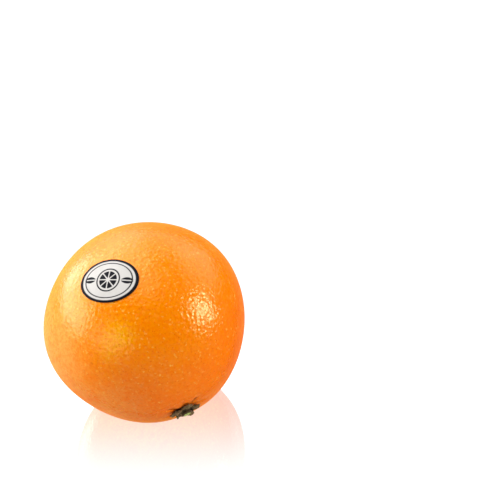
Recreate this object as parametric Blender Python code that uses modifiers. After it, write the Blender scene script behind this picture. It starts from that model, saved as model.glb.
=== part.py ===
"""A whole table orange as it lies at rest: the fruit, its calyx, its cut stem and a stuck-on oval label.

Units are metres, +Z is up, and the front of the fruit faces -Y. The origin is the middle of the small
flat spot that the fruit rests on. A place on the skin is named by its azimuth, 0 at the front and
growing towards +X, and its elevation, both in degrees and seen from the fruit's centre.
"""

import math
from collections import namedtuple

import bmesh
import bpy
from mathutils import Matrix, Quaternion, Vector

MM = 0.001

# The fruit
MEAN_RADIUS = 40.9 * MM
REST_SINK = 0.45 * MM  # how far the skin gives where the fruit rests
FRUIT_CENTRE = Vector((0, 0, MEAN_RADIUS - REST_SINK))
RINGS = 48
MERIDIANS = 96
RING_CROWDING = 0.5  # rings stand this much closer at the two ends than evenly spaced ones
STEM_PLACE = (16.0, -29.0)

# Uneven growth: where the skin swells or dips, how far it reaches round, and its height
Swell = namedtuple("Swell", "azimuth elevation height")
SWELL_SPREAD = math.radians(28)
SWELLS = (
    Swell(83, 7, -0.70 * MM),
    Swell(109, 39, 0.40 * MM),
    Swell(155, 62, -0.20 * MM),
    Swell(-100, 30, -0.30 * MM),
    Swell(-76, -2, 0.90 * MM),
    Swell(-43, -34, -0.70 * MM),
    Swell(-7, -44, 0.50 * MM),
    Swell(38, -36, 0.75 * MM),
    Swell(67, -14, -0.70 * MM),
)

# The stem end: a shallow basin with short creases that run out from the calyx
BASIN_DEPTH = 1.3 * MM
BASIN_REACH = 8.0 * MM
Crease = namedtuple("Crease", "angle depth")
CREASES = (
    Crease(14, 0.5 * MM),
    Crease(61, 0.8 * MM),
    Crease(104, 0.4 * MM),
    Crease(147, 0.8 * MM),
    Crease(207, 0.5 * MM),
    Crease(262, 0.6 * MM),
    Crease(317, 0.5 * MM),
)
CREASE_WIDTH = math.radians(7)
CREASE_MIDDLE = 7.5 * MM
CREASE_REACH = 2.8 * MM

# The blossom end: a small puckered scar round a low nipple
SCAR_DEPTH = 0.8 * MM
SCAR_MIDDLE = 2.6 * MM
SCAR_REACH = 1.5 * MM

GAP = 0.3 * MM  # between pieces that lie on each other

# The calyx: five dry sepals, joined in the middle, each folded along its rib and curling off the skin
Sepal = namedtuple("Sepal", "angle length curl")
SEPALS = (
    Sepal(14, 5.9 * MM, 0.8 * MM),
    Sepal(88, 6.5 * MM, 0.2 * MM),
    Sepal(166, 7.0 * MM, 0.9 * MM),
    Sepal(234, 5.2 * MM, 0.5 * MM),
    Sepal(301, 5.8 * MM, 1.1 * MM),
)
SEPAL_TAPER = 1.3
CALYX_NOTCH = 4.0 * MM  # from the middle to the notch between two sepals
CALYX_THICKNESS = 0.7 * MM
FOLD_HEIGHT = 0.5 * MM
FOLD_REACH = 1.5 * MM
CALYX_SIDES = 70
CALYX_RINGS = 6

# The cut stem in the middle of the calyx
STEM_RADIUS = 1.9 * MM
STEM_TOP_RADIUS = 0.9 * STEM_RADIUS
STEM_FOOT = 1.5 * MM  # above the skin, clear of the calyx's folds
STEM_HEIGHT = 1.1 * MM
STEM_SIDES = 24
STEM_BEVEL = 0.25 * MM
STEM_BEVEL_SEGMENTS = 2

# The label
LABEL_PLACE = (-33.2, 55.3)
LABEL_TURN = math.radians(12)
LABEL_LENGTH = 22.4 * MM
LABEL_WIDTH = 16.8 * MM
LABEL_THICKNESS = 0.3 * MM
LABEL_SIDES = 48
LABEL_RINGS = 6

# What each piece looks like: its colour and how rough it is
Finish = namedtuple("Finish", "colour roughness")
WAXED_PEEL = Finish((0.93, 0.26, 0.01, 1), 0.35)
DRY_SEPALS = Finish((0.13, 0.09, 0.04, 1), 0.80)
GREEN_WOOD = Finish((0.46, 0.52, 0.20, 1), 0.70)
WHITE_FILM = Finish((0.90, 0.87, 0.83, 1), 0.45)

EDGE_ANGLE = math.radians(40)  # an edge sharper than this stays an edge


def towards(azimuth, elevation):
    """The unit vector from the fruit's centre to a place on its skin."""
    a, e = math.radians(azimuth), math.radians(elevation)
    return Vector((math.sin(a) * math.cos(e), -math.cos(a) * math.cos(e), math.sin(e)))


STEM_END = towards(*STEM_PLACE)
BLOSSOM_END = -STEM_END
STEM_FRAME = STEM_END.to_track_quat("Z", "Y")
SWELL_TOWARDS = tuple((towards(s.azimuth, s.elevation), s.height) for s in SWELLS)


def bell(x):
    return math.exp(-x * x)


def between(turn, angle):
    """The difference of a direction in radians from one in degrees, without its sign."""
    return abs((turn - math.radians(angle) + math.pi) % math.tau - math.pi)


def skin_radius(way):
    """The distance from the fruit's centre to its skin along the unit vector way."""
    radius = MEAN_RADIUS
    for middle, height in SWELL_TOWARDS:
        radius += height * bell(way.angle(middle) / SWELL_SPREAD)
    return radius - stem_end_depth(way) - blossom_end_depth(way)


def stem_end_depth(way):
    """The basin at the calyx, and the creases that run out of it."""
    out = MEAN_RADIUS * way.angle(STEM_END)
    across, along = tangents(STEM_END, 0)
    turn = math.atan2(way.dot(along), way.dot(across))
    creased = sum(c.depth * bell(between(turn, c.angle) / CREASE_WIDTH) for c in CREASES)
    return BASIN_DEPTH * bell(out / BASIN_REACH) + creased * bell((out - CREASE_MIDDLE) / CREASE_REACH)


def blossom_end_depth(way):
    out = MEAN_RADIUS * way.angle(BLOSSOM_END)
    return SCAR_DEPTH * bell((out - SCAR_MIDDLE) / SCAR_REACH)


def skin_point(way, lift=0.0):
    return FRUIT_CENTRE + way * (skin_radius(way) + lift)


def tangents(way, turn):
    """Two unit vectors along the skin, the first turned from the level one that points right."""
    across = Quaternion(way, turn) @ Vector((0, 0, 1)).cross(way).normalized()
    return across, way.cross(across)


def draped(flat, way, turn, lift):
    """Where a point of a flat piece lies once the piece is laid on the skin, its origin at way."""
    reach = math.hypot(flat.x, flat.y)
    if reach == 0:
        return skin_point(way, lift)
    across, along = tangents(way, turn)
    heading = (across * flat.x + along * flat.y) / reach
    arc = reach / MEAN_RADIUS
    return skin_point(way * math.cos(arc) + heading * math.sin(arc), lift)


def plain_material(name, finish):
    material = bpy.data.materials.new(name)
    material.use_nodes = True
    shader = material.node_tree.nodes["Principled BSDF"]
    shader.inputs["Base Color"].default_value = finish.colour
    shader.inputs["Roughness"].default_value = finish.roughness
    shader.inputs["Metallic"].default_value = 0.0
    return material


def new_object(name, bm, finish, collection):
    mesh = bpy.data.meshes.new(name)
    bm.to_mesh(mesh)
    bm.free()
    mesh.shade_smooth()
    mesh.set_sharp_from_angle(angle=EDGE_ANGLE)
    mesh.materials.append(plain_material(name, finish))
    obj = bpy.data.objects.new(name, mesh)
    collection.objects.link(obj)
    return obj


def ringed_disc(sides, rings):
    """A flat unit disc of concentric rings of vertices round a middle one, facing +Z."""
    bm = bmesh.new()
    bmesh.ops.create_circle(bm, cap_ends=True, segments=sides, radius=1)
    face = bm.faces[:][0]
    face.normal_update()
    if face.normal.z < 0:
        face.normal_flip()
    inset = math.cos(math.pi / sides) / rings
    for _ in range(rings - 1):
        bmesh.ops.inset_region(bm, faces=[face], thickness=inset, use_boundary=True, use_even_offset=True)
    bmesh.ops.poke(bm, faces=[face])
    return bm


def solidify(obj, thickness):
    """Thickens an open sheet away from the fruit."""
    modifier = obj.modifiers.new("Thickness", "SOLIDIFY")
    modifier.thickness = thickness
    modifier.offset = 1
    modifier.use_even_offset = True


def crowded(polar_angle):
    """Moves an even ring's angle from the stem axis towards the nearer end."""
    return polar_angle - RING_CROWDING / 2 * math.sin(2 * polar_angle)


def make_peel(collection):
    """The fruit itself, whose meridians run from the stem end to the blossom end."""
    bm = bmesh.new()
    bmesh.ops.create_uvsphere(bm, u_segments=MERIDIANS, v_segments=RINGS, radius=1)
    for vertex in bm.verts:
        polar = crowded(vertex.co.angle(Vector((0, 0, 1))))
        turn = math.atan2(vertex.co.y, vertex.co.x)
        flat = Vector((math.cos(turn), math.sin(turn), 0)) * math.sin(polar)
        way = STEM_FRAME @ (flat + Vector((0, 0, math.cos(polar))))
        vertex.co = skin_point(way)
    cut = bmesh.ops.bisect_plane(
        bm, geom=bm.verts[:] + bm.edges[:] + bm.faces[:], plane_no=(0, 0, 1), clear_inner=True
    )
    rim = [part for part in cut["geom_cut"] if isinstance(part, bmesh.types.BMEdge)]
    bmesh.ops.contextual_create(bm, geom=rim)
    bmesh.ops.recalc_face_normals(bm, faces=bm.faces[:])
    return new_object("peel", bm, WAXED_PEEL, collection)


def calyx_point(turn, share):
    """A point of the calyx's skin side, at an angle round it and a share of the way to its edge."""
    sepal = min(SEPALS, key=lambda s: between(turn, s.angle))
    near_rib = max(0.0, 1 - between(turn, sepal.angle) / (math.pi / len(SEPALS)))
    reach = share * (CALYX_NOTCH + (sepal.length - CALYX_NOTCH) * near_rib**SEPAL_TAPER)
    fold = FOLD_HEIGHT * near_rib * bell((reach - CALYX_NOTCH) / FOLD_REACH)
    curl = sepal.curl * (reach / sepal.length) ** 3
    flat = Vector((math.cos(turn), math.sin(turn))) * reach
    return draped(flat, STEM_END, 0, GAP + fold + curl)


def make_calyx(collection):
    bm = ringed_disc(CALYX_SIDES, CALYX_RINGS)
    for vertex in bm.verts:
        turn = math.atan2(vertex.co.y, vertex.co.x)
        vertex.co = calyx_point(turn, min(1.0, vertex.co.xy.length))
    calyx = new_object("calyx", bm, DRY_SEPALS, collection)
    solidify(calyx, CALYX_THICKNESS)
    return calyx


def make_stem(collection):
    """The short cut end of the stem, standing in the middle of the calyx."""
    foot = skin_point(STEM_END, STEM_FOOT)
    upright = Matrix.Translation(foot + STEM_END * STEM_HEIGHT / 2) @ STEM_FRAME.to_matrix().to_4x4()
    bm = bmesh.new()
    bmesh.ops.create_cone(
        bm,
        cap_ends=True,
        segments=STEM_SIDES,
        radius1=STEM_RADIUS,
        radius2=STEM_TOP_RADIUS,
        depth=STEM_HEIGHT,
        matrix=upright,
    )
    stem = new_object("stem", bm, GREEN_WOOD, collection)
    bevel = stem.modifiers.new("Worn edge", "BEVEL")
    bevel.width = STEM_BEVEL
    bevel.segments = STEM_BEVEL_SEGMENTS
    bevel.angle_limit = EDGE_ANGLE
    return stem


def make_label(collection):
    """The oval label, bent over the skin."""
    bm = ringed_disc(LABEL_SIDES, LABEL_RINGS)
    for vertex in bm.verts:
        flat = Vector((vertex.co.x * LABEL_LENGTH / 2, vertex.co.y * LABEL_WIDTH / 2))
        vertex.co = draped(flat, towards(*LABEL_PLACE), LABEL_TURN, GAP)
    label = new_object("label", bm, WHITE_FILM, collection)
    solidify(label, LABEL_THICKNESS)
    return label


def main():
    for obj in list(bpy.data.objects):
        bpy.data.objects.remove(obj, do_unlink=True)
    orange = bpy.data.collections.new("orange")
    bpy.context.scene.collection.children.link(orange)
    make_peel(orange)
    make_calyx(orange)
    make_stem(orange)
    make_label(orange)


main()
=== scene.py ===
import math
import random

import bmesh
import bpy
import numpy as np
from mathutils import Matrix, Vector, kdtree, noise


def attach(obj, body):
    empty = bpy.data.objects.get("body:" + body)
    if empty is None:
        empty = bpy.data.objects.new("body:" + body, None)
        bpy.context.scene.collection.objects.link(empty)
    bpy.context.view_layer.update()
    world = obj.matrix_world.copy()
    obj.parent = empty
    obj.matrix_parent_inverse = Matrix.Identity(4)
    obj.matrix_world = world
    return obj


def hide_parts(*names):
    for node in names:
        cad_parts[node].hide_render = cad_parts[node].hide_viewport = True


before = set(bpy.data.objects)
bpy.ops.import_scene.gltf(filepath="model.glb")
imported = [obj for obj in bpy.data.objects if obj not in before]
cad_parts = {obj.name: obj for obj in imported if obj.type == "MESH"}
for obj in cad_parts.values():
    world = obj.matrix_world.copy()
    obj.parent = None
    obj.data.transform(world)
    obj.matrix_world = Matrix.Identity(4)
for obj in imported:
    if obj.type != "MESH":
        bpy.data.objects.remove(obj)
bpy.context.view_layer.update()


# The peel is the fruit's own skin, waxed and closely dimpled over its oil glands. The fruit grew unevenly,
# so it bulges at the front and at one side and is flatter between them. It rests on a small flat spot, and
# short creases run out of the shallow basin at its stem end.

mm = 0.001
mean_radius = 40.9 * mm
rest_sink = 0.45 * mm
fruit_centre = np.array((0, 0, mean_radius - rest_sink))
swell_spread = math.radians(28)
swells = (  # azimuth, elevation, height
    (83, 7, -0.70 * mm),
    (109, 39, 0.40 * mm),
    (155, 62, -0.20 * mm),
    (-100, 30, -0.30 * mm),
    (-76, -2, 0.90 * mm),
    (-43, -34, -0.70 * mm),
    (-7, -44, 0.50 * mm),
    (38, -36, 0.75 * mm),
    (67, -14, -0.70 * mm),
)
basin_depth = 1.3 * mm
basin_reach = 8.0 * mm
creases = (  # angle round the stem, depth
    (14, 0.5 * mm),
    (61, 0.8 * mm),
    (104, 0.4 * mm),
    (147, 0.8 * mm),
    (207, 0.5 * mm),
    (262, 0.6 * mm),
    (317, 0.5 * mm),
)
deepest_crease = max(depth for _, depth in creases)
crease_width = math.radians(7)
crease_middle = 6.6 * mm
crease_reach = 2.8 * mm
scar_depth = 0.8 * mm
scar_middle = 2.6 * mm
scar_reach = 1.5 * mm
cuts_a_side = 127
gland_seed = 41
gland_pitch = 1.75 * mm
gland_nudge = 0.42  # this and the sizes are shares of the pitch
gland_sizes = (0.36, 0.62)
usual_gland = 0.5
gland_depth = 0.045 * mm
shallow_share = 0.7  # how much shallower the dimples are at the stem end
shallow_reach = 12 * mm


def towards(azimuth, elevation):
    """The unit vector from the fruit's middle; azimuth 0 is the front and grows to +X."""
    a, e = math.radians(azimuth), math.radians(elevation)
    return np.array((math.sin(a) * math.cos(e), -math.cos(a) * math.cos(e), math.sin(e)))


stem_end = towards(16, -29)


def bell(x):
    return np.exp(-x * x)


def across_and_along(way, turn=0.0):
    """Two directions along the skin at a place: to its right, and up it, both turned by an angle."""
    right = np.cross((0, 0, 1), way)
    right /= np.linalg.norm(right)
    up = np.cross(way, right)
    return right * math.cos(turn) + up * math.sin(turn), up * math.cos(turn) - right * math.sin(turn)


def arc_from(ways, way):
    """How far along the skin each of the directions in ways lies from the direction way."""
    return mean_radius * np.arccos(np.clip(ways @ way, -1, 1))


def crease_depth(ways):
    right, up = across_and_along(stem_end)
    turn = np.arctan2(ways @ up, ways @ right)
    depth = np.zeros(len(ways))
    for angle, deepest in creases:
        off = np.abs((turn - math.radians(angle) + math.pi) % math.tau - math.pi)
        depth += deepest * bell(off / crease_width)
    return depth * bell((arc_from(ways, stem_end) - crease_middle) / crease_reach)


def skin_radius(ways):
    """The skin's distance from the fruit's middle, without its dimples."""
    radius = np.full(len(ways), mean_radius)
    for azimuth, elevation, height in swells:
        radius += height * bell(arc_from(ways, towards(azimuth, elevation)) / mean_radius / swell_spread)
    radius -= basin_depth * bell(arc_from(ways, stem_end) / basin_reach) + crease_depth(ways)
    return radius - scar_depth * bell((arc_from(ways, -stem_end) - scar_middle) / scar_reach)


def glands(ways):
    """The dimples over the oil glands, spread evenly and then nudged: 1 in the middle of a usual one."""
    draw = random.Random(gland_seed)
    count = int(4 * math.pi * mean_radius**2 / gland_pitch**2)
    tree = kdtree.KDTree(count)
    sizes = []
    for index in range(count):
        height = 1 - 2 * (index + 0.5) / count
        turn = index * math.pi * (3 - math.sqrt(5))
        out = math.sqrt(1 - height * height)
        nudge = Vector(draw.uniform(-1, 1) for _ in range(3)) * gland_nudge * gland_pitch
        tree.insert(Vector((out * math.cos(turn), out * math.sin(turn), height)) * mean_radius + nudge, index)
        sizes.append(draw.uniform(*gland_sizes) * gland_pitch)
    tree.balance()
    dimples = np.zeros(len(ways))
    for index, way in enumerate(ways * mean_radius):
        _, nearest, distance = tree.find(way)
        share = min(1.0, distance / sizes[nearest])
        dimples[index] = (1 - share * share) ** 2 * sizes[nearest] / (usual_gland * gland_pitch)
    return dimples


def new_piece(name, bm, slot, *nodes):
    """Makes the finished mesh a piece of the object, in the place of the nodes that it stands for."""
    mesh = bpy.data.meshes.new(name)
    bm.to_mesh(mesh)
    bm.free()
    mesh.shade_smooth()
    piece = bpy.data.objects.new(name, mesh)
    bpy.context.scene.collection.objects.link(piece)
    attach(piece, "root")
    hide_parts(*nodes)
    return piece


ball = bmesh.new()
bmesh.ops.create_cube(ball, size=2)
bmesh.ops.subdivide_edges(ball, edges=ball.edges[:], cuts=cuts_a_side, use_grid_fill=True)
corners = np.tan(np.array([vertex.co for vertex in ball.verts]) * math.pi / 4)
ways = corners / np.linalg.norm(corners, axis=1, keepdims=True)
dimples = glands(ways) * (1 - shallow_share * bell(arc_from(ways, stem_end) / shallow_reach))
places = fruit_centre + ways * (skin_radius(ways) - gland_depth * dimples)[:, None]
places[:, 2] = np.maximum(places[:, 2], 0)
for vertex, place in zip(ball.verts, places):
    vertex.co = place
peel = new_piece("waxed_peel", ball, "peel", "peel")
crease_share = crease_depth(ways) / deepest_crease
peel.data.attributes.new("crease", "FLOAT", "POINT").data.foreach_set("value", crease_share)


class Output:
    """What comes out of a shader node. Arithmetic on it adds Math nodes."""

    def __init__(self, finish, socket):
        self.finish = finish
        self.socket = socket

    def math(self, operation, first, second):
        return self.finish.node("ShaderNodeMath", {"operation": operation}, {0: first, 1: second})

    def __add__(self, other):
        return self.math("ADD", self, other)

    def __sub__(self, other):
        return self.math("SUBTRACT", self, other)

    def __rsub__(self, other):
        return self.math("SUBTRACT", other, self)

    def __mul__(self, other):
        return self.math("MULTIPLY", self, other)

    __radd__ = __add__
    __rmul__ = __mul__


class Finish:
    """A material, and the ways to add nodes before its Principled shader."""

    def __init__(self, name):
        self.material = bpy.data.materials.new(name)
        self.material.use_nodes = True
        self.tree = self.material.node_tree
        self.shader = self.tree.nodes["Principled BSDF"]

    def feed(self, socket, value):
        if isinstance(value, Output):
            self.tree.links.new(value.socket, socket)
        else:
            socket.default_value = value

    def node(self, kind, settings, sockets, output=0):
        node = self.tree.nodes.new(kind)
        for name, value in settings.items():
            setattr(node, name, value)
        for key, value in sockets.items():
            self.feed(node.inputs[key], value)
        return Output(self, node.outputs[output])

    def surface(self, **sockets):
        """Sets the Principled shader's sockets, named with _ for a space."""
        for name, value in sockets.items():
            self.feed(self.shader.inputs[name.replace("_", " ")], value)

    def place(self):
        return self.node("ShaderNodeTexCoord", {}, {}, "Object")

    def vector(self, operation, first, second, output="Vector"):
        return self.node("ShaderNodeVectorMath", {"operation": operation}, {0: first, 1: second}, output)

    def scaled(self, vector, factor):
        sockets = {0: vector, "Scale": factor}
        return self.node("ShaderNodeVectorMath", {"operation": "SCALE"}, sockets, "Vector")

    def unsigned(self, value):
        return self.node("ShaderNodeMath", {"operation": "ABSOLUTE"}, {0: value})

    def cloud(self, place, size, detail=2.0, output="Fac"):
        """Soft noise whose blotches are about size across."""
        sockets = {"Vector": place, "Scale": 1 / size, "Detail": detail}
        return self.node("ShaderNodeTexNoise", {}, sockets, output)

    def cells(self, place, size, smoothness):
        """The distance from the nearest of many scattered points, in units of their spacing."""
        sockets = {"Vector": place, "Scale": 1 / size, "Smoothness": smoothness}
        return self.node("ShaderNodeTexVoronoi", {"feature": "SMOOTH_F1"}, sockets, "Distance")

    def fade(self, value, low, high, start=0.0, end=1.0):
        """Goes softly from start, where value is low, to end, where it is high."""
        limits = {"Value": value, "From Min": low, "From Max": high, "To Min": start, "To Max": end}
        return self.node("ShaderNodeMapRange", {"interpolation_type": "SMOOTHSTEP"}, limits)

    def mix(self, share, first, second):
        """Colours mixed by a share, from the first at 0 to the second at 1."""
        return self.node("ShaderNodeMix", {"data_type": "RGBA"}, {0: share, 6: first, 7: second}, 2)

    def attribute(self, name):
        return self.node("ShaderNodeAttribute", {"attribute_name": name}, {}, "Fac")

    def bump(self, height, depth):
        return self.node("ShaderNodeBump", {}, {"Height": height, "Distance": depth})


orange = (0.99, 0.245, 0.0, 1)
yellow_orange = (0.99, 0.31, 0.0, 1)
bright_yellow = (0.99, 0.41, 0.0, 1)
deep_orange = (0.95, 0.155, 0.0, 1)
brown_orange = (0.91, 0.172, 0.012, 1)
bloom_and_sheen = (0.99, 0.46, 0.12, 1)
fleck_yellow = (1.0, 0.52, 0.09, 1)
pinprick = (0.74, 0.11, 0.0, 1)
crease_shade_brown = (0.24, 0.045, 0.008, 1)
scar_brown = (0.40, 0.16, 0.04, 1)
tones = (  # azimuth, elevation, full within, gone at, strength, colour
    # The first row, deep orange over the right side, is painted shade: the darker, redder light that a
    # neighbouring fruit would cast there.
    (72, -14, 5 * mm, 47 * mm, 1.0, deep_orange),
    (-60, 45, 8 * mm, 50 * mm, 0.5, yellow_orange),
    (-4, -25, 5 * mm, 40 * mm, 0.85, brown_orange),
    (0, -80, 10 * mm, 40 * mm, 1.0, bright_yellow),
    (-17, 29, 0, 9 * mm, 0.9, bright_yellow),
    (-23, 21, 0, 7 * mm, 0.6, bright_yellow),
    # The two pale rows below are painted sheen: paler colour on the left rim and the lower left, where light
    # would catch the peel. The same pale colour marks real dust further down.
    (-60, 9, 6 * mm, 23 * mm, 0.62, bloom_and_sheen),
    (-28, -16, 4 * mm, 20 * mm, 0.3, bloom_and_sheen),
)
grain_size = 0.5 * mm
stir_size = 1.6 * mm
stir_reach = 0.5 * mm
strew_reach = 2.2 * mm
well_size = 1.3 * mm
pit_size = 1.05 * mm
fleck_size = 1.7 * mm
mottle_size = 1.1 * mm
mottle_strength = 0.38
pit_strength = 0.55
crease_shade_strength = 0.8
relief_depth = 0.16 * mm

peel_finish = Finish("waxed peel")
place = peel_finish.place()
wander = peel_finish.cloud(place, 14 * mm, 3.0) - 0.5


def patch(azimuth, elevation, core, edge, strength=1.0):
    """A soft-edged region of the peel round a place: full within core of it, and gone at edge."""
    spot = tuple(fruit_centre + mean_radius * towards(azimuth, elevation))
    away = peel_finish.vector("DISTANCE", place, spot, "Value")
    return peel_finish.fade(away + wander * (edge * 0.5), core, edge, strength, 0.0)


stir = peel_finish.cloud(place, stir_size, 2.0, "Color")
stirred = peel_finish.vector("ADD", place, peel_finish.scaled(stir, stir_reach))
colour = orange
for azimuth, elevation, core, edge, strength, tone in tones:
    colour = peel_finish.mix(patch(azimuth, elevation, core, edge, strength), colour, tone)
dust = peel_finish.fade(peel_finish.cloud(place, stir_size, 5.0), 0.52, 0.7)
colour = peel_finish.mix(dust * patch(-20, -10, 10 * mm, 50 * mm, 0.2), colour, bloom_and_sheen)
strewn = peel_finish.vector("ADD", place, peel_finish.scaled(stir, strew_reach))
flecks = peel_finish.fade(peel_finish.cells(strewn, fleck_size, 0.0), 0.3, 0.12)
flecks = flecks * peel_finish.fade(peel_finish.cloud(place, 7 * mm), 0.35, 0.6, 0.3, 0.65)
colour = peel_finish.mix(flecks, colour, fleck_yellow)
mottle = peel_finish.fade(peel_finish.cloud(stirred, mottle_size, 4.0), 0.45, 0.6)
colour = peel_finish.mix(mottle * mottle_strength, colour, deep_orange)
blotches = peel_finish.fade(peel_finish.cloud(place, 4 * mm, 3.0), 0.52, 0.66)
colour = peel_finish.mix(blotches * patch(-10, -30, 10 * mm, 50 * mm, 0.5), colour, deep_orange)
wells = peel_finish.cells(stirred, well_size, 0.3)
pits = peel_finish.fade(peel_finish.cells(place, pit_size, 0.0), 0.3, 0.05)
colour = peel_finish.mix(pits * pit_strength, colour, pinprick)
# The creases round the stem end are darkened with a near-black brown: painted shade in them.
crease = peel_finish.fade(peel_finish.attribute("crease"), 0.25, 1.0)
colour = peel_finish.mix(crease * crease_shade_strength, colour, crease_shade_brown)
colour = peel_finish.mix(patch(-164, 29, 0.8 * mm, 3.2 * mm, 0.7), colour, scar_brown)

grain = peel_finish.cloud(place, grain_size, 2.0)
swirl = peel_finish.cloud(place, 1.8 * mm, 2.0)
relief = wells + grain * 0.3 + swirl * 0.05 - pits * 0.3
relief = relief * (1 - patch(-80, 12, 12 * mm, 48 * mm, 0.6))
edge_on = peel_finish.node("ShaderNodeLayerWeight", {}, {"Blend": 0.5}, "Facing")
waxiness = peel_finish.fade(swirl, 0.3, 0.7, 0.14, 0.24)
dull_rim = peel_finish.fade(edge_on, 0.5, 0.9, 0.0, 0.45)
peel_finish.surface(
    Base_Color=colour,
    Roughness=waxiness + dull_rim,
    Specular_IOR_Level=0.65,
    Specular_Tint=(1.0, 0.84, 0.42, 1),
    Subsurface_Weight=0.08,
    Subsurface_Radius=(1.0, 0.35, 0.1),
    Subsurface_Scale=1.5 * mm,
    Normal=peel_finish.bump(relief, relief_depth),
)
peel.data.materials.append(peel_finish.material)


# The calyx is the dry brown star that held the fruit to its stem: five sepals joined in the middle, each
# folded along its rib, crumpled, and curling off the skin at its tip.

skin_gap = 0.3 * mm
sepals = (  # angle round the stem, length, curl
    (14, 5.9 * mm, 0.8 * mm),
    (88, 6.5 * mm, 0.2 * mm),
    (166, 7.0 * mm, 0.9 * mm),
    (234, 5.2 * mm, 0.5 * mm),
    (301, 5.8 * mm, 1.1 * mm),
)
notch = 4.0 * mm
sepal_taper = 1.3
fold_height = 0.5 * mm
fold_reach = 1.5 * mm
calyx_sides = 180
calyx_rings = 16
calyx_thickness = 0.4 * mm
crumple_size = 1.6 * mm
crumple_height = 0.9 * mm
deepest_crumple = -0.2
fibre_size = 0.6 * mm
hollow_shade_brown = (0.022, 0.012, 0.005, 1)
dry_brown = (0.21, 0.13, 0.06, 1)
dull_green = (0.14, 0.12, 0.04, 1)


def ringed_disc(sides, rings):
    """A flat disc of radius 1 that faces +Z, with rings of vertices round a middle one."""
    bm = bmesh.new()
    bmesh.ops.create_circle(bm, cap_ends=True, segments=sides, radius=1)
    face = bm.faces[:][0]
    face.normal_update()
    if face.normal.z < 0:
        face.normal_flip()
    inset = math.cos(math.pi / sides) / rings
    for _ in range(rings - 1):
        bmesh.ops.inset_region(bm, faces=[face], thickness=inset, use_boundary=True, use_even_offset=True)
    bmesh.ops.poke(bm, faces=[face])
    return bm


def draped(flat, way, turn, lift):
    """Lays points of a flat piece on the skin, its middle at the direction way, raised by lift."""
    right, up = across_and_along(way, turn)
    reach = np.hypot(*flat.T)
    heading = (flat[:, :1] * right + flat[:, 1:] * up) / np.maximum(reach, 1e-9)[:, None]
    arc = (reach / mean_radius)[:, None]
    ways = way * np.cos(arc) + heading * np.sin(arc)
    return fruit_centre + ways * (skin_radius(ways) + lift)[:, None]


def sepal_at(turn):
    """The sepal at an angle round the stem, and how near its rib that angle is, from 0 to 1."""
    off = [abs((turn - math.radians(angle) + math.pi) % math.tau - math.pi) for angle, _, _ in sepals]
    nearest = min(range(len(sepals)), key=off.__getitem__)
    return sepals[nearest], max(0.0, 1 - off[nearest] * len(sepals) / math.pi)


star = ringed_disc(calyx_sides, calyx_rings)
flat, lift, ridge = [], [], []
for vertex in star.verts:
    turn, share = math.atan2(vertex.co.y, vertex.co.x), min(1.0, vertex.co.xy.length)
    (angle, length, curl), near_rib = sepal_at(turn)
    reach = share * (notch + (length - notch) * near_rib**sepal_taper)
    point = Vector((math.cos(turn), math.sin(turn), 0)) * reach
    crumple = noise.fractal(point / crumple_size, 0.8, 2.0, 3) * min(1.0, reach / notch)
    fold = fold_height * near_rib * bell((reach - notch) / fold_reach)
    raised = crumple_height * max(crumple, deepest_crumple)
    flat.append(point.xy)
    lift.append(skin_gap + fold + curl * (reach / length) ** 3 + raised)
    ridge.append(crumple + near_rib * 0.4)
for vertex, place in zip(star.verts, draped(np.array(flat), stem_end, 0, np.array(lift))):
    vertex.co = place
calyx = new_piece("dry_calyx", star, "calyx", "calyx")
calyx.data.attributes.new("ridge", "FLOAT", "POINT").data.foreach_set("value", ridge)
walls = calyx.modifiers.new("Thickness", "SOLIDIFY")
walls.thickness = calyx_thickness
walls.offset = 1
walls.use_even_offset = True

calyx_finish = Finish("dry calyx")
place = calyx_finish.place()
fibres = calyx_finish.cloud(place, fibre_size, 4.0)
# The calyx runs from a near-black brown in the hollows of its crumples, which is painted shade, to its dry
# brown on the ridges and ribs, which are painted lighter as if lit.
height = calyx_finish.fade(calyx_finish.attribute("ridge") + fibres * 0.4, 0.0, 0.75)
colour = calyx_finish.mix(height, hollow_shade_brown, dry_brown)
still_green = calyx_finish.fade(calyx_finish.cloud(place, 2.5 * mm), 0.5, 0.7)
colour = calyx_finish.mix(still_green * 0.4, colour, dull_green)
calyx_finish.surface(
    Base_Color=colour,
    Roughness=calyx_finish.fade(fibres, 0.3, 0.7, 0.7, 0.95),
    Specular_IOR_Level=0.1,
    Normal=calyx_finish.bump(fibres, 0.25 * mm),
)
calyx.data.materials.append(calyx_finish.material)


# The stem was snipped short, which left a woody stub in the middle of the calyx. Its cut end is pale green
# wood inside a thin brown bark.

stub_radius = 1.9 * mm
stub_foot = 1.5 * mm
stub_height = 1.1 * mm
stub_sides = 40
stub_rings = 7
rounded_edge = 0.25 * mm
out_of_round = 0.05
wood_grain = 0.5 * mm
bark_width = 0.4 * mm
bark_wander = 1.2 * mm
green_wood = (0.24, 0.28, 0.06, 1)
pale_wood = (0.50, 0.56, 0.18, 1)
bark_brown = (0.09, 0.055, 0.025, 1)

stub_mesh = ringed_disc(stub_sides, stub_rings)
right, up = across_and_along(stem_end)
foot = fruit_centre + stem_end * (skin_radius(stem_end[None])[0] + stub_foot)
for vertex in stub_mesh.verts:
    share = vertex.co.xy.length
    torn = noise.fractal(vertex.co * 2.2, 0.9, 2.0, 3) * 0.16 * mm
    radius = stub_radius * (1 - out_of_round * noise.noise(vertex.co * 3))
    across = right * vertex.co.x + up * vertex.co.y
    vertex.co = foot + across * radius + stem_end * (stub_height + torn - rounded_edge * share**6)
rim = [edge for edge in stub_mesh.edges if edge.is_boundary]
sides = bmesh.ops.extrude_edge_only(stub_mesh, edges=rim)["geom"]
lower = [part for part in sides if isinstance(part, bmesh.types.BMVert)]
for vertex in lower:
    out = Vector(foot) - vertex.co
    vertex.co += Vector(stem_end) * out.dot(Vector(stem_end))
bmesh.ops.contextual_create(stub_mesh, geom=[edge for edge in stub_mesh.edges if edge.is_boundary])
bmesh.ops.recalc_face_normals(stub_mesh, faces=stub_mesh.faces[:])
stub = new_piece("cut_stem", stub_mesh, "stem", "stem")

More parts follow.
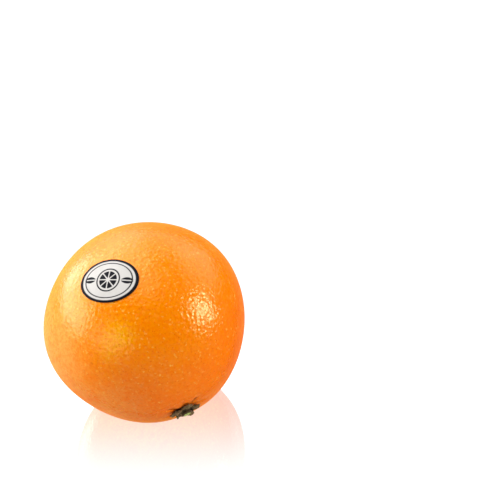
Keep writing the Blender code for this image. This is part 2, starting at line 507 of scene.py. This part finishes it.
stub_finish = Finish("cut stem")
place = stub_finish.place()
from_foot = stub_finish.vector("SUBTRACT", place, tuple(foot))
from_pith = stub_finish.vector("CROSS_PRODUCT", from_foot, tuple(stem_end))
out = stub_finish.vector("LENGTH", from_pith, (0, 0, 0), "Value")
grain = stub_finish.cloud(place, wood_grain, 3.0)
bark = stub_finish.fade(out + grain * bark_wander, stub_radius, stub_radius + bark_width)
colour = stub_finish.mix(stub_finish.fade(grain, 0.35, 0.65), green_wood, pale_wood)
colour = stub_finish.mix(bark, colour, bark_brown)
stub_finish.surface(
    Base_Color=colour,
    Roughness=stub_finish.fade(grain, 0.3, 0.7, 0.6, 0.8),
    Specular_IOR_Level=0.1,
    Normal=stub_finish.bump(grain, 0.1 * mm),
)
stub.data.materials.append(stub_finish.material)


# The label is a thin white film printed in black, stuck on by machine. It lies close on the skin and is a
# little rippled at its edge. Its print is a black rim, a thin oval line, and a citrus slice between leaves.

label_way = towards(-33.2, 55.3)
label_turn = math.radians(12)
label_length = 22.4 * mm
label_width = 16.8 * mm
label_thickness = 0.12 * mm
label_lift = 0.1 * mm
print_span = 2 * label_length
label_sides = 144
label_rings = 20
ripple_size = 3 * mm
ripple_height = 0.1 * mm
paper_grey = (0.60, 0.57, 0.54, 1)
paper_white = (0.68, 0.66, 0.63, 1)
black_ink = (0.008, 0.008, 0.012, 1)

film = ringed_disc(label_sides, label_rings)
flat = np.array([vertex.co.xy for vertex in film.verts]) * (label_length / 2, label_width / 2)
edge = np.array([vertex.co.xy.length for vertex in film.verts])
ripple = np.array([noise.fractal(Vector((x, y, ripple_size)) / ripple_size, 0.8, 2.0, 2) for x, y in flat])
lift = label_lift + ripple_height * ripple * edge**2
for vertex, place in zip(film.verts, draped(flat, label_way, label_turn, lift)):
    vertex.co = place
print_map = film.loops.layers.uv.new("print")
film.verts.index_update()
for face in film.faces:
    for loop in face.loops:
        loop[print_map].uv = flat[loop.vert.index] / print_span + 0.5
label = new_piece("oval_label", film, "label", "label")
walls = label.modifiers.new("Thickness", "SOLIDIFY")
walls.thickness = label_thickness
walls.offset = 1

label_finish = Finish("printed film")
paper = label_finish.node("ShaderNodeUVMap", {"uv_map": "print"}, {})
at = label_finish.vector("SUBTRACT", paper, (0.5, 0.5, 0))
at = label_finish.vector("MULTIPLY", at, (print_span / mm, print_span / mm, 0))
x = label_finish.node("ShaderNodeSeparateXYZ", {}, {0: at}, 0)
y = label_finish.node("ShaderNodeSeparateXYZ", {}, {0: at}, 1)

# Every size of the print is in millimetres on the label.
blur = 0.12
rim_width = 0.85
line_inset, line_width = 1.75, 0.35
slice_radius, slice_line = 4.2, 0.5
flesh_radius, core_radius, wall_half = 3.3, 0.7, 0.75
leaf_across, leaf_arc_up, leaf_arc_radius, vein_half = 7.1, 1.9, 3.1, 0.2


def inside(distance, limit):
    """1 where a distance in millimetres is under the limit, and 0 where it is over."""
    return label_finish.fade(distance, limit + blur, limit - blur)


def band(distance, middle, width):
    return inside(distance, middle + width / 2) - inside(distance, middle - width / 2)


def far(across, up):
    """The distance in millimetres from a point of the label."""
    return label_finish.vector("DISTANCE", at, (across, up, 0), "Value")


oval = label_finish.vector("MULTIPLY", at, (2 * mm / label_length, 2 * mm / label_width, 0))
oval = label_finish.vector("LENGTH", oval, (0, 0, 0), "Value")
half_width = label_width / mm / 2
from_middle = oval * half_width
ink = 1 - inside(from_middle, half_width - rim_width)
ink = ink + band(from_middle, half_width - line_inset, line_width)
centre = far(0, 0)
turn = label_finish.node("ShaderNodeMath", {"operation": "ARCTAN2"}, {0: y, 1: x})
spokes = label_finish.node("ShaderNodeMath", {"operation": "SINE"}, {0: turn * 4})
spokes = label_finish.unsigned(spokes) * centre
flesh = (inside(centre, flesh_radius) - inside(centre, core_radius)) * (1 - inside(spokes, wall_half))
ink = ink + band(centre, slice_radius, slice_line) + flesh
for side in (-1, 1):
    upper = inside(far(side * leaf_across, leaf_arc_up), leaf_arc_radius)
    leaf = upper * inside(far(side * leaf_across, -leaf_arc_up), leaf_arc_radius)
    ink = ink + leaf * (1 - inside(label_finish.unsigned(y), vein_half))
ink = label_finish.node("ShaderNodeClamp", {}, {"Value": ink})
dirt = label_finish.cloud(label_finish.place(), 4 * mm, 3.0)
white = label_finish.mix(dirt, paper_grey, paper_white)
label_finish.surface(
    Base_Color=label_finish.mix(ink, white, black_ink),
    Roughness=label_finish.fade(dirt, 0.3, 0.7, 0.45, 0.6),
    Specular_IOR_Level=0.06,
    Normal=label_finish.bump(label_finish.cloud(label_finish.place(), 1.5 * mm, 1.0), 0.06 * mm),
)
label.data.materials.append(label_finish.material)


# The floor is a white sheet of acrylic lit from below, so no shadow lies on it. A strip of it is polished
# under the fruit and shows its faint reflection. The sheet is kept out of the fruit's own gloss, because it
# would whiten the rim all round.

floor_half = 4.0
strip_forward = (0.218, 0.976, 0)
strip_sideways = (0.976, -0.218, 0)
strip_shine = 0.54

floor_mesh = bmesh.new()
bmesh.ops.create_grid(floor_mesh, x_segments=1, y_segments=1, size=floor_half)
mesh = bpy.data.meshes.new("floor")
floor_mesh.to_mesh(mesh)
floor_mesh.free()
floor = bpy.data.objects.new("floor", mesh)
bpy.context.scene.collection.objects.link(floor)
floor.visible_glossy = False

acrylic = Finish("white acrylic")
acrylic.surface(
    Base_Color=(0.02, 0.02, 0.02, 1),
    Roughness=0.9,
    Specular_IOR_Level=0.0,
    Emission_Color=(1, 1, 1, 1),
    Emission_Strength=1.1,
)
polish = acrylic.node("ShaderNodeBsdfGlossy", {}, {"Color": (1, 1, 1, 1), "Roughness": 0.06})
back_and_forth = acrylic.vector("DOT_PRODUCT", acrylic.place(), strip_forward, "Value")
side_to_side = acrylic.vector("DOT_PRODUCT", acrylic.place(), strip_sideways, "Value")
shine = acrylic.fade(acrylic.unsigned(back_and_forth), 4 * mm, 60 * mm, strip_shine, 0.0)
shine = shine * acrylic.fade(acrylic.unsigned(side_to_side), 45 * mm, 75 * mm, 1.0, 0.0)
matt = Output(acrylic, acrylic.shader.outputs["BSDF"])
sheet = acrylic.node("ShaderNodeMixShader", {}, {0: shine, 1: matt, 2: polish})
acrylic.tree.links.new(sheet.socket, acrylic.tree.nodes["Material Output"].inputs["Surface"])
floor.data.materials.append(acrylic.material)


# The backdrop is a plain white dome round the set. Its light falls on the floor alone, so that the polish
# mirrors white beside the fruit.

dome_mesh = bmesh.new()
bmesh.ops.create_uvsphere(dome_mesh, u_segments=64, v_segments=32, radius=floor_half)
mesh = bpy.data.meshes.new("backdrop")
dome_mesh.to_mesh(mesh)
dome_mesh.free()
mesh.shade_smooth()
backdrop = bpy.data.objects.new("backdrop", mesh)
bpy.context.scene.collection.objects.link(backdrop)
backdrop.light_linking.receiver_collection = bpy.data.collections.new("lit by the backdrop")
backdrop.light_linking.receiver_collection.objects.link(floor)

paint = Finish("white backdrop")
paint.surface(
    Base_Color=(0, 0, 0, 1),
    Specular_IOR_Level=0.0,
    Emission_Color=(1, 1, 1, 1),
    Emission_Strength=1.0,
)
mesh.materials.append(paint.material)


# The studio has wide soft boxes on the left, behind and overhead, a low one at the front left, and a small
# bright one on the right that makes the highlight there. No light comes from outside.

middle = Vector(fruit_centre)


def soft_box(name, azimuth, elevation, distance, width, height, power):
    light = bpy.data.lights.new(name, "AREA")
    light.shape = "RECTANGLE"
    light.size = width
    light.size_y = height
    light.energy = power
    lamp = bpy.data.objects.new(name, light)
    lamp.location = middle + Vector(towards(azimuth, elevation)) * distance
    lamp.rotation_euler = (middle - lamp.location).to_track_quat("-Z", "Y").to_euler()
    bpy.context.scene.collection.objects.link(lamp)


soft_box("back left soft box", -150, 28, 0.6, 0.6, 0.45, 1.1)
soft_box("left soft box", -110, 32, 0.7, 0.8, 0.6, 2.35)
soft_box("low left soft box", -106, 17, 0.6, 0.8, 0.3, 2.6)
soft_box("low front soft box", -45, 12, 0.6, 0.4, 0.2, 0.5)
soft_box("high left soft box", -130, 62, 0.7, 0.7, 0.6, 3.5)
soft_box("overhead soft box", -20, 80, 0.7, 0.5, 0.5, 1.15)
soft_box("right soft box", 67, 19, 0.6, 0.19, 0.26, 2.15)
soft_box("back right soft box", 115, 35, 0.6, 0.45, 0.45, 0.95)
soft_box("back soft box", 160, 40, 0.6, 0.5, 0.4, 0.6)

world = bpy.data.worlds.new("studio")
world.use_nodes = True
world.node_tree.nodes["Background"].inputs["Strength"].default_value = 0.0
bpy.context.scene.world = world
bpy.context.scene.view_settings.view_transform = "Standard"


# The camera looks down on the fruit from the front, and the fruit stands left of the picture's middle.

camera_distance = 237.8 * mm
camera_elevation = 36
picture_middle = middle + Vector((43.1 * mm, 0, 28.1 * mm))

lens = bpy.data.cameras.new("camera")
lens.lens = 40
lens.sensor_width = 36
camera = bpy.data.objects.new("camera", lens)
camera.location = middle + Vector(towards(0, camera_elevation)) * camera_distance
camera.rotation_euler = (picture_middle - camera.location).to_track_quat("-Z", "Y").to_euler()
bpy.context.scene.collection.objects.link(camera)
bpy.context.scene.camera = camera
